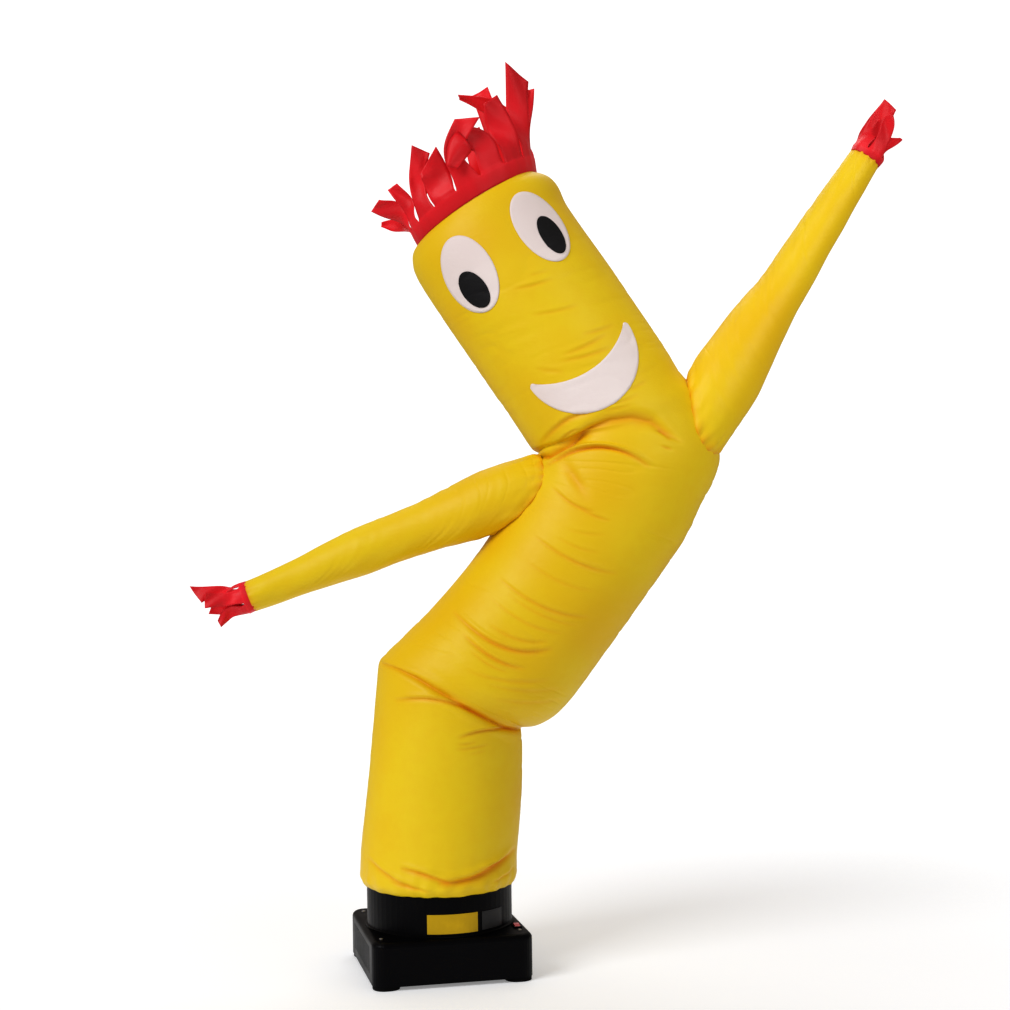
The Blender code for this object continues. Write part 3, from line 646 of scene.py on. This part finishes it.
def buildBody():
    at, turns = rowPlaces(), columnTurns()
    grid = tubeRings(at, turns)
    kink = (bell(at - 7.0, 1.0) + bell(at - 20.0, 1.2))[:, None, None]
    grid = evenOut(grid, np.clip(1 - kink, 0, 1), 10)
    outward = gridNormals(grid)
    if np.mean(np.einsum("ijk,ijk->ij", outward, grid - grid.mean(axis=1, keepdims=True))) < 0:
        outward = -outward
    across, up = grid @ acrossWay, grid[..., 2]
    facing = np.sin(turns)[None, :]
    front = softStep(0.0, 0.32, facing)
    behind = softStep(0.0, 0.32, -facing)
    rowsAt = at[:, None] + 0 * across

    push, shadeMark = pressFolds(across, up, bodyFolds)
    push, shadeMark = push * front, shadeMark * front
    backPush, backShadeMark = pressFolds(across + 0.012, up - 0.008, bodyFolds[:19] + bodyFolds[-6:])
    push += backPush * behind * 0.8
    shadeMark += backShadeMark * behind * 0.8
    for crease in (kneeCrease, neckCrease):
        deeper, marked = pressCrease(across, up, crease)
        push += deeper * np.maximum(front, behind)
        shadeMark += 0.75 * marked * np.maximum(front, behind)

    dx, dy = across - neckLeaf["across"], up - neckLeaf["up"]
    lengthways, sideways = dx * 0.50 - dy * 0.866, dx * 0.866 + dy * 0.50
    leaf = bell(lengthways, neckLeaf["length"]) * bell(sideways, neckLeaf["width"]) * front
    push -= neckLeaf["depth"] * leaf
    shadeMark += neckLeaf["shadeTint"] * leaf

    # broad billows, then fine wrinkles that run round the tube
    lengths = np.concatenate(([0], np.cumsum(np.linalg.norm(np.diff(grid.mean(axis=1), axis=0), axis=1))))
    run = lengths[:, None] + 0 * across
    roundAt = turns[None, :] / math.tau + 0 * across

    def noise(along, rounds, seed):
        # hills to a metre, hills round the tube
        return drift(run * along, roundAt * rounds, seed, rounds)

    push += body["billow"] * noise(9, 9, 3)
    patchy = softStep(-0.1, 0.5, noise(5, 6, 5))
    strained = bell(rowsAt - 11.5, 3.2) + bell(rowsAt - 17.0, 1.6) + 0.7 * bell(rowsAt - 24.5, 2.5)
    strained += 0.8 * bell(rowsAt - 5.0, 1.0) + 0.18
    strained += 0.45 * bell(rowsAt - 28.0, 2.0)
    strained = np.minimum(strained, 1)
    push += body["crinkle"] * noise(62, 12, 7) * patchy * strained
    for seed, along, rounds in ((19, 34, 7), (23, 47, 11)):
        thread = np.exp(-np.abs(noise(along, rounds, seed)) / 0.09)
        some = softStep(0.0, 0.6, noise(8, 8, seed + 1))
        push -= body["hairline"] * thread * strained * some

    # gathers above the hem
    low = np.exp(-np.maximum(up - 0.188, 0) / 0.030)
    pleats = np.sin(roundAt * math.tau * body["gathers"] + 2.2 * noise(20, 15, 11))
    low *= 0.35 + 0.65 * softStep(0.183, 0.205, up)
    push += body["gatherDepth"] * low * (pleats * 0.7 + noise(55, 40, 13) + 0.6)
    wave = np.clip(noise(0, 30, 17) * np.exp(-(up - 0.183) / 0.010), -1, 1)
    grid[..., 2] += 0.0004 * wave
    inner = innerSkin(grid, outward, push, up)
    grid = grid + outward * push[..., None]

    outer, inner = closeHead(grid, 17, 0.0), closeHead(inner, 5, body["innerWall"])
    columns = len(turns)
    innerColumns = inner.shape[1]
    first = outer.shape[0] * columns
    faces = gridFaces(len(outer), columns) + gridFaces(len(inner), innerColumns, first=first)
    faces.append(tuple(first - columns + j for j in range(columns)))
    last = first + len(inner) * innerColumns
    faces.append(tuple(last - innerColumns + j for j in range(innerColumns)))
    step = body["innerColumn"]
    for j in range(innerColumns):
        rim = tuple((j * step + k) % columns for k in range(step + 1))
        faces.append(rim + (first + (j + 1) % innerColumns, first + j))
    points = np.concatenate((outer.reshape(-1, 3), inner.reshape(-1, 3)))
    # the crease mark is painted shade: it darkens the cloth's colour in the folds, creases and the hollow
    # below the neck
    crease = np.zeros(len(points))
    crease[:shadeMark.size] = np.clip(shadeMark, 0, 1).ravel()
    piece = meshObject("bodyTube", points, faces, yellowNylon, crease=crease)
    facesOut(piece)
    return piece


bodyTube = buildBody()
bodySkin = treeOf(bodyTube)
print("stage: body tube", len(bodyTube.data.polygons))


# arms: middle line and radius, from inside the torso to the wrist

ArmSection = namedtuple("ArmSection", "across up back radius")
leftArm = (
    ArmSection(0.242, 1.03, -0.036, 0.064),
    ArmSection(0.167, 1.009, -0.036, 0.069),
    ArmSection(0.11, 0.989, -0.028, 0.067),
    ArmSection(0.05, 0.967, -0.018, 0.0615),
    ArmSection(-0.02, 0.94, -0.01, 0.052),
    ArmSection(-0.08, 0.918, -0.006, 0.05),
    ArmSection(-0.15, 0.8925, -0.003, 0.049),
    ArmSection(-0.215, 0.8675, 0.0, 0.0445),
    ArmSection(-0.28, 0.8415, 0.0, 0.039),
    ArmSection(-0.34, 0.8185, 0.0, 0.0355),
    ArmSection(-0.394, 0.7985, 0.0, 0.0325),
)
rightArm = (
    ArmSection(0.53, 1.103, -0.045, 0.066),
    ArmSection(0.59, 1.194, -0.036, 0.0745),
    ArmSection(0.622, 1.245, -0.028, 0.0755),
    ArmSection(0.654, 1.296, -0.02, 0.07),
    ArmSection(0.686, 1.346, -0.012, 0.064),
    ArmSection(0.747, 1.433, -0.004, 0.052),
    ArmSection(0.805, 1.521, 0.0, 0.0465),
    ArmSection(0.841, 1.577, 0.0, 0.043),
    ArmSection(0.877, 1.633, 0.0, 0.039),
    ArmSection(0.907, 1.677, 0.0, 0.036),
    ArmSection(0.936, 1.72, 0.0, 0.034),
)

arms = {
    "columns": 96,
    "rows": 270,
    "billow": 0.0018,
    "crinkle": 0.0006,
    "hairline": 0.0012,
    "pucker": 0.0036,
    "puckerReach": 0.030,
}


def armFrame(sections, at):
    rows = smoothRows(sections, at)
    middle, ahead, behind = (
        place(*smoothRows(sections, at + step)[:, :3].T) for step in (0.0, 0.02, -0.02)
    )
    along = unit(ahead - behind)
    side = unit(np.cross(along, -backWay))
    return middle, along, side, np.cross(side, along), rows[:, 3]


def rootShare(places, count):
    # how far in from the wrist a line of the arm meets the body
    for i in range(count - 1, 0, -1):
        a, b = Vector(places[i]), Vector(places[i - 1])
        run = b - a
        hit = bodySkin.ray_cast(a, run.normalized(), run.length)
        if hit[0] is not None:
            return i - hit[3] / run.length
    return 0.0


def buildArm(name, sections, seed):
    count = 220
    at = np.linspace(0, len(sections) - 1, count)
    middle, along, side, front, radius = armFrame(sections, at)
    turns = np.arange(arms["columns"]) / arms["columns"] * math.tau
    rim = side[:, None] * np.cos(turns)[None, :, None] + front[:, None] * np.sin(turns)[None, :, None]
    full = middle[:, None] + rim * radius[:, None, None]
    rows = arms["rows"]
    starts = np.array([rootShare(full[:, j], count) for j in range(len(turns))])
    for _ in range(2):
        starts = (np.roll(starts, 1) + 2 * starts + np.roll(starts, -1)) / 4
    starts = np.maximum(starts - 0.25, 0)
    grid = np.zeros((rows, len(turns), 3))
    way = np.zeros_like(grid)
    for j, start in enumerate(starts):
        share = np.linspace(0, 1, rows) ** 1.25
        spot = start + (count - 1 - start) * share
        low = np.minimum(spot.astype(int), count - 2)
        t = (spot - low)[:, None]
        grid[:, j] = full[low, j] * (1 - t) + full[low + 1, j] * t
        way[:, j] = rim[low, j]
    steps = np.linalg.norm(np.diff(grid, axis=0), axis=2)
    run = np.concatenate((np.zeros((1, len(turns))), np.cumsum(steps, axis=0)))
    roundAt = turns[None, :] / math.tau + 0 * run

    def noise(lengthways, rounds, step):
        return drift(run * lengthways, roundAt * rounds, seed + step, rounds)

    push = arms["billow"] * noise(14, 5, 0)
    patchy = softStep(-0.2, 0.5, noise(7, 4, 1))
    push += arms["crinkle"] * noise(75, 6, 2) * patchy
    thread = np.exp(-np.abs(noise(30, 4, 5)) / 0.08)
    push -= arms["hairline"] * thread * softStep(0.0, 0.6, noise(9, 5, 6))
    near = np.exp(-run / arms["puckerReach"])
    tucks = np.sin(roundAt * math.tau * 17 + 2.0 * noise(20, 12, 3))
    puckers = tucks * 0.6 + noise(50, 26, 4)
    push += near * arms["pucker"] * puckers * softStep(0, 0.006, run)
    push -= 0.004 * np.exp(-run / 0.008)
    wrist = run[-1:] - run
    push += 0.0009 * np.exp(-wrist / 0.014) * np.sin(roundAt * math.tau * 13)
    grid = grid + way * push[..., None]
    # painted shade where the arm meets the body and at the wrist under the cuff
    shadeMark = np.clip(np.exp(-run / 0.011) * (0.7 + 0.3 * tucks) + 0.7 * np.exp(-wrist / 0.005), 0, 1)
    faces = gridFaces(rows, len(turns))
    piece = meshObject(name, grid.reshape(-1, 3), faces, yellowNylon, crease=shadeMark.ravel())
    return piece, float(run[-1].mean())


armLeft, armLeftLength = buildArm("armLeft", leftArm, 31)
armRight, armRightLength = buildArm("armRight", rightArm, 51)
print("stage: arms", round(armLeftLength, 3), round(armRightLength, 3))


# strips cut in the free edge of the crown of hair and of the cuffs, evenly round the ring from its right or
# upper side by way of the front. Each leaves its band, swings to its heading, clockwise from straight up in
# the figure's plane, bends on the way and narrows to its tip; forward is its lean to the front

Strip = namedtuple("Strip", "reach headingDeg bendDeg width tip forward twistDeg")
hairStrips = (
    Strip(0.16, -10, 20, 0.044, 0.012, 0.0, 10),
    Strip(0.19, -5, 5, 0.050, 0.054, 0.1, 10),
    Strip(0.14, -10, -15, 0.056, 0.036, 0.1, 5),
    Strip(0.17, -10, -150, 0.050, 0.024, 0.2, 0),
    Strip(0.15, -35, 65, 0.040, 0.044, 0.1, 0),
    Strip(0.09, -25, 0, 0.060, 0.054, 0.1, 0),
    Strip(0.14, -25, 35, 0.034, 0.040, 0.1, 0),
    Strip(0.10, -30, -10, 0.030, 0.026, 0.0, -10),
    Strip(0.11, -50, -20, 0.042, 0.032, 0.0, -15),
    Strip(0.09, -70, -15, 0.030, 0.014, 0.0, 20),
    Strip(0.17, -20, 70, 0.014, 0.010, 0.0, 20),
    Strip(0.11, -15, -5, 0.030, 0.020, 0.0, 0),
    Strip(0.11, 5, -5, 0.040, 0.030, 0.0, 10),
    Strip(0.16, -20, 10, 0.046, 0.030, 0.0, 10),
    Strip(0.22, -15, -5, 0.044, 0.042, 0.0, -10),
    Strip(0.25, -5, -70, 0.036, 0.012, 0.0, -20),
)
leftCuffStrips = (
    Strip(0.10, -85, -5, 0.026, 0.038, 0.1, 10),
    Strip(0.08, -100, 10, 0.028, 0.032, 0.2, 0),
    Strip(0.07, -100, -35, 0.026, 0.014, 0.1, -10),
    Strip(0.08, -95, 5, 0.028, 0.024, 0.0, 0),
    Strip(0.06, -90, 10, 0.026, 0.020, -0.1, 0),
)
rightCuffStrips = (
    Strip(0.07, 35, 25, 0.022, 0.008, 0.0, 10),
    Strip(0.09, 30, -20, 0.032, 0.014, 0.1, 10),
    Strip(0.11, 25, 10, 0.040, 0.034, 0.1, 0),
    Strip(0.10, 15, 25, 0.036, 0.030, 0.0, -10),
    Strip(0.06, 20, 10, 0.030, 0.020, -0.1, 0),
)

hair = {
    "perStrip": 8,
    "bandRows": 9,
    "stripRows": 28,
    "thickness": 0.0009,
    "cup": 0.0055,
    "ripple": 0.0035,
    "faceFront": 0.85,
    "tuck": 0.0016,
    "band": 0.032,
    "lap": 0.0008,
    "inset": 0.998,
    "shrink": 0.95,
}
cuff = {"band": 0.014, "flare": 0.10, "clear": 0.0006, "lap": 0.0022, "shrink": 0.92}


def rotated(vector, axis, angle):
    return (
        vector * math.cos(angle)
        + np.cross(axis, vector) * math.sin(angle)
        + axis * float(axis @ vector) * (1 - math.cos(angle))
    )


def buildComb(name, ringAt, bandAt, strips, shrink, seed):
    # ringAt and bandAt give a place on the sewn edge, and its move to the top of the band, for a turn
    per, bandRows = hair["perStrip"], hair["bandRows"]
    columns = per * len(strips)
    turns = (np.arange(columns) / per - 0.5) / len(strips) * math.tau
    low = np.array([ringAt(turn) for turn in turns])
    move = np.array([bandAt(turn) for turn in turns])
    points, shadeMarks = [], []
    outward = unit(low - low.mean(axis=0))
    for i in range(bandRows):
        share = i / (bandRows - 1)
        tuck = np.sin(turns * columns / per * 1.6 + 2 * drift(turns * 3, turns * 0, seed, 9))
        ripple = hair["tuck"] * tuck * share * (1 - 0.4 * share)
        points += list(low + move * share + outward * ripple[:, None])
        # painted shade on the band, darker towards its sewn edge
        shadeMarks += [0.5 * (1 - share)] * columns
    faces = gridFaces(bandRows, columns)
    top = (bandRows - 1) * columns
    rng = np.random.default_rng(seed)
    for number, strip in enumerate(strips):
        ids = [top + (number * per + k) % columns for k in range(per + 1)]
        edge = np.array([points[k] for k in ids])
        full = edge[0] - edge[-1]
        wide = np.linalg.norm(full)
        spot = (edge[0] + edge[-1]) / 2
        rootOut = unit(spot - (low + move).mean(axis=0))
        leaving = unit(move[(number * per + per // 2) % columns])
        widths = [(wide * shrink,), (strip.width,), (strip.width,), (strip.tip,)]
        cup, phase, slant = rng.uniform(-1, 1), rng.uniform(0, 6), rng.uniform(-0.8, 0.8)
        bowed = edge - (edge[0] + (edge[-1] - edge[0]) * np.linspace(0, 1, per + 1)[:, None])
        rows = hair["stripRows"]
        for step in range(1, rows + 1):
            share = step / rows
            width = float(smoothRows(widths, np.array([3 * share]))[0, 0])
            heading = math.radians(strip.headingDeg + strip.bendDeg * softStep(0.2, 0.8, share))
            aimed = acrossWay * math.sin(heading) + upWay * math.cos(heading) - backWay * strip.forward
            swing = softStep(0.0, 0.3, share)
            ahead = unit(leaving * (1 - swing) + unit(aimed) * swing)
            spot = spot + ahead * strip.reach / rows
            flat = np.cross(ahead, backWay)
            flat = flat * (1 if flat @ full >= 0 else -1)
            turned = hair["faceFront"] * softStep(0.05, 0.6, share)
            cross = full / wide * (1 - turned) + unit(flat) * turned
            cross = unit(cross - ahead * float(ahead @ cross))
            cross = rotated(cross, ahead, math.radians(strip.twistDeg) * softStep(0.0, 0.5, share))
            face = np.cross(cross, ahead)
            across = np.linspace(0.5, -0.5, per + 1)
            curl = cup * hair["cup"] * softStep(0, 0.5, share) * (1 - (2 * across) ** 2)
            wave = hair["ripple"] * share * np.sin(across * 5 + share * 9 + phase)
            skew = slant * softStep(0.6, 1.0, share) * width * across
            row = spot + cross * (width * across)[:, None]
            row = row + face * (curl + wave)[:, None] + ahead * skew[:, None]
            row = row + bowed * (1 - softStep(0, 0.35, share))
            row = row - rootOut * abs(float(cross @ rootOut)) * width / 2
            new = list(range(len(points), len(points) + per + 1))
            points += list(row)
            # the same darker crease tint rises and falls in waves along each strip
            shadeMarks += [0.15 * (1 + math.sin(share * 7 + phase))] * (per + 1)
            faces += [(ids[k], ids[k + 1], new[k + 1], new[k]) for k in range(per)]
            ids = new
    piece = meshObject(name, points, faces, redNylon, crease=shadeMarks)
    return thicken(piece, hair["thickness"], 0.0)


def buildHair():
    ring = bodySections[-1]
    left = place(ring.leftAcross, ring.leftUp, ring.back)
    right = place(ring.rightAcross, ring.rightUp, ring.back)
    middle, axis = (left + right) / 2, np.cross(unit(right - left), backWay)
    half, depth = (right - middle) * hair["inset"], -backWay * ring.depth * hair["inset"]

    def ringAt(turn):
        rise = ring.rise * math.sin(turn) - hair["lap"]
        return middle + half * math.cos(turn) + depth * math.sin(turn) + axis * rise

    def bandAt(turn):
        flare = math.radians(9 + 13 * math.cos(turn))
        out = unit(half * math.cos(turn) + depth * math.sin(turn))
        return (axis * math.cos(flare) + out * math.sin(flare)) * hair["band"]

    return buildComb("hairCrown", ringAt, bandAt, hairStrips, hair["shrink"], 71)


def buildCuff(name, sections, strips, seed):
    last = sections[-1]
    _, along, side, front, _ = (part[0] for part in armFrame(sections, np.array([len(sections) - 1.02])))
    middle = place(last.across, last.up, last.back)

    def ringAt(turn):
        out = side * math.cos(turn) + front * math.sin(turn)
        return middle + out * (last.radius + cuff["clear"]) - along * cuff["lap"]

    def bandAt(turn):
        out = side * math.cos(turn) + front * math.sin(turn)
        return (along + out * cuff["flare"]) * cuff["band"]

    return buildComb(name, ringAt, bandAt, strips, cuff["shrink"], seed)


hairCrown = buildHair()
cuffLeft = buildCuff("cuffLeft", leftArm, leftCuffStrips, 81)
cuffRight = buildCuff("cuffRight", rightArm, rightCuffStrips, 91)
print("stage: hair and cuffs")


# face pieces, laid on the head

Oval = namedtuple("Oval", "name across up halfLength halfWidth angleDeg layer")
ovals = (
    Oval("eyeWhiteLeft", 0.0812, 1.4667, 0.0857, 0.0515, -63.7, 1),
    Oval("eyeWhiteRight", 0.2279, 1.5640, 0.0845, 0.0494, -55.7, 1),
    Oval("pupilLeft", 0.0907, 1.4345, 0.0432, 0.0243, -54.0, 2),
    Oval("pupilRight", 0.2505, 1.5464, 0.0450, 0.0222, -59.0, 2),
)
smile = {
    "middle": (0.3052, 1.2946),
    "angleDeg": 33,
    "half": 0.1218,
    "low": 0.122,
    "high": 0.038,
    "tip": 0.013,
}
patch = {"clear": 0.0006, "thick": 0.0009}


def onHead(across, up, lift):
    start = Vector(place(across, up, -0.4))
    hit, normal, _, _ = bodySkin.ray_cast(start, Vector(backWay))
    if normal.dot(Vector(backWay)) > 0:
        normal = -normal
    return hit + normal * lift


def layPatch(name, rows, layer, material, closed):
    # rows of places in the figure's plane become a thin patch on the head
    lift = patch["clear"] + (layer - 1) * (patch["clear"] + patch["thick"]) + patch["thick"]
    columns = len(rows[0])
    points = [onHead(across, up, lift) for row in rows for across, up in row]
    faces = gridFaces(len(rows), columns, closed)
    if closed:
        points.append(onHead(*np.mean(rows[-1], axis=0), lift))
        first = (len(rows) - 1) * columns
        faces += [(first + j, first + (j + 1) % columns, len(points) - 1) for j in range(columns)]
    piece = meshObject(name, points, faces, material)
    work = bmesh.new()
    work.from_mesh(piece.data)
    bmesh.ops.recalc_face_normals(work, faces=work.faces)
    total = sum((f.normal for f in work.faces), Vector())
    if total.dot(Vector(-backWay)) < 0:
        bmesh.ops.reverse_faces(work, faces=work.faces)
    work.to_mesh(piece.data)
    work.free()
    return thicken(piece, patch["thick"], -1.0)


def buildOval(oval, material):
    angle = math.radians(oval.angleDeg)
    rows = []
    for size in np.linspace(1, 0.06, 15):
        row = []
        for i in range(72):
            turn = math.tau * i / 72
            x, y = oval.halfLength * size * math.cos(turn), oval.halfWidth * size * math.sin(turn)
            row.append((
                oval.across + x * math.cos(angle) - y * math.sin(angle),
                oval.up + x * math.sin(angle) + y * math.cos(angle),
            ))
        rows.append(row)
    return layPatch(oval.name, rows, oval.layer, material, True)


def sagging(half, sag, share):
    radius = (half * half + sag * sag) / (2 * sag)
    reach = math.asin(min(1.0, half / radius))
    turn = reach * (2 * share - 1)
    return radius * math.sin(turn), radius - sag - radius * math.cos(turn)


def buildSmile():
    angle = math.radians(smile["angleDeg"])
    rows = []
    for level in np.linspace(0, 1, 16):
        row = []
        for share in np.linspace(0, 1, 90):
            lowX, lowY = sagging(smile["half"], smile["low"], share)
            highX, highY = sagging(smile["half"] - smile["tip"], smile["high"], share)
            x, y = lowX + (highX - lowX) * level, lowY + (highY - lowY) * level
            y += 0.45 * smile["tip"] * math.sin(math.pi * level) * abs(2 * share - 1) ** 14
            row.append((
                smile["middle"][0] + x * math.cos(angle) - y * math.sin(angle),
                smile["middle"][1] + x * math.sin(angle) + y * math.cos(angle),
            ))
        rows.append(row)
    return layPatch("smile_patch", rows, 1, whiteCloth, False)


facePieces = {oval.name: buildOval(oval, whiteCloth if oval.layer == 1 else blackCloth) for oval in ovals}
facePieces["smile"] = buildSmile()
thicken(armLeft, clothThick)
thicken(armRight, clothThick)
print("stage: face and cloth thickness")


# blower: the frame's own shapes with moulded finishes


def plasticFinish(name, colour, roughness, gloss, grain=0.00018, scale=900.0):
    finish = Finish(name, Specular_IOR_Level=gloss)
    fine = finish.cloud(scale, 2.0)
    dust = finish.cloud(14.0, 5.0)
    worn = tuple(min(1, c * 1.4 + 0.001) for c in colour)
    finish.colour(finish.mix(dust.between(0, 0.6, 0.45, 0.8), colour, worn))
    finish.roughness(dust * 0.22 + (roughness - 0.11))
    finish.bump(fine, grain, 0.5)
    return finish.material


finishes = {
    "housing": plasticFinish("housingPlastic", (0.0006, 0.0006, 0.0014), 0.42, 0.09),
    "rubber": plasticFinish("footRubber", (0.0015, 0.0015, 0.0018), 0.75, 0.12, 0.0003, 500),
    "yellowPlate": plasticFinish("plateYellow", (0.50, 0.32, 0.004), 0.38, 0.2, 0.00006),
    "greyPlate": plasticFinish("plateGrey", (0.026, 0.026, 0.027), 0.42, 0.2, 0.00006),
    "rocker": plasticFinish("rockerRed", (0.50, 0.010, 0.016), 0.22, 0.4, 0.00003),
}


def steelFinish():
    finish = Finish("screwSteel", Metallic=1.0)
    rings = finish.cloud(1400.0, 3.0)
    finish.colour(finish.mix(rings.between(0, 1, 0.3, 0.7), (0.50, 0.50, 0.51), (0.34, 0.34, 0.35)))
    finish.roughness(rings * 0.2 + 0.25)
    finish.bump(rings, 0.00004, 0.5)
    return finish.material


finishes["steel"] = steelFinish()
nodeFinish = {
    "blower_base": "housing",
    "blower_collar": "housing",
    "switch_bezel": "housing",
    "switch_rocker": "rocker",
    "plate_yellow": "yellowPlate",
    "plate_grey": "greyPlate",
}
nodeFinish.update({f"foot_{i}": "rubber" for i in (1, 2, 3, 4)})
nodeFinish.update({f"screw_{i}": "steel" for i in (1, 2, 3, 4)})
for name, key in nodeFinish.items():
    for slot in nodes[name].material_slots:
        slot.material = finishes[key]
print("stage: blower finishes")


# floor


def addFloor():
    finish = Finish("paleFloor", Roughness=0.9, Specular_IOR_Level=0.1)
    finish.shader.inputs["Base Color"].default_value = (0.90, 0.93, 0.97, 1)
    finish.shader.inputs["Emission Color"].default_value = (1, 1, 1, 1)
    finish.shader.inputs["Emission Strength"].default_value = 0.21
    at = finish.node("SeparateXYZ", None, {0: finish.node("TexCoord", output=3)})
    across, along = at, Shade(finish, at.socket.node.outputs[1])
    reach = (across * across + along * along) ** 0.5
    finish.feed(finish.shader.inputs["Alpha"], 1 - reach.between(0, 1, 0.5, studio["floorRadius"] * 0.95))
    work = bmesh.new()
    bmesh.ops.create_circle(work, cap_ends=True, radius=studio["floorRadius"], segments=96)
    mesh = bpy.data.meshes.new("studioFloor")
    work.to_mesh(mesh)
    work.free()
    mesh.materials.append(finish.material)
    floor = bpy.data.objects.new("studioFloor", mesh)
    floor.location = (0, 0, -0.0006)
    scene.collection.objects.link(floor)


addFloor()


# what rides on what, what it stands for and its cloth

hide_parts("body_tube")
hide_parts("arm_left")
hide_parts("arm_right")
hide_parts("hair_crown")
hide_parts("cuff_left")
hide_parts("cuff_right")
stands = {
    "eyeWhiteLeft": ("eye_white_left", "white_cloth"),
    "eyeWhiteRight": ("eye_white_right", "white_cloth"),
    "pupilLeft": ("pupil_left", "black_cloth"),
    "pupilRight": ("pupil_right", "black_cloth"),
    "smile": ("smile", "white_cloth"),
}
for name, (node, slot) in stands.items():
    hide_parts(node)
for piece in (bodyTube, armLeft, armRight, hairCrown, cuffLeft, cuffRight, *facePieces.values()):
    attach(piece, "dancer")

print("stage: done")
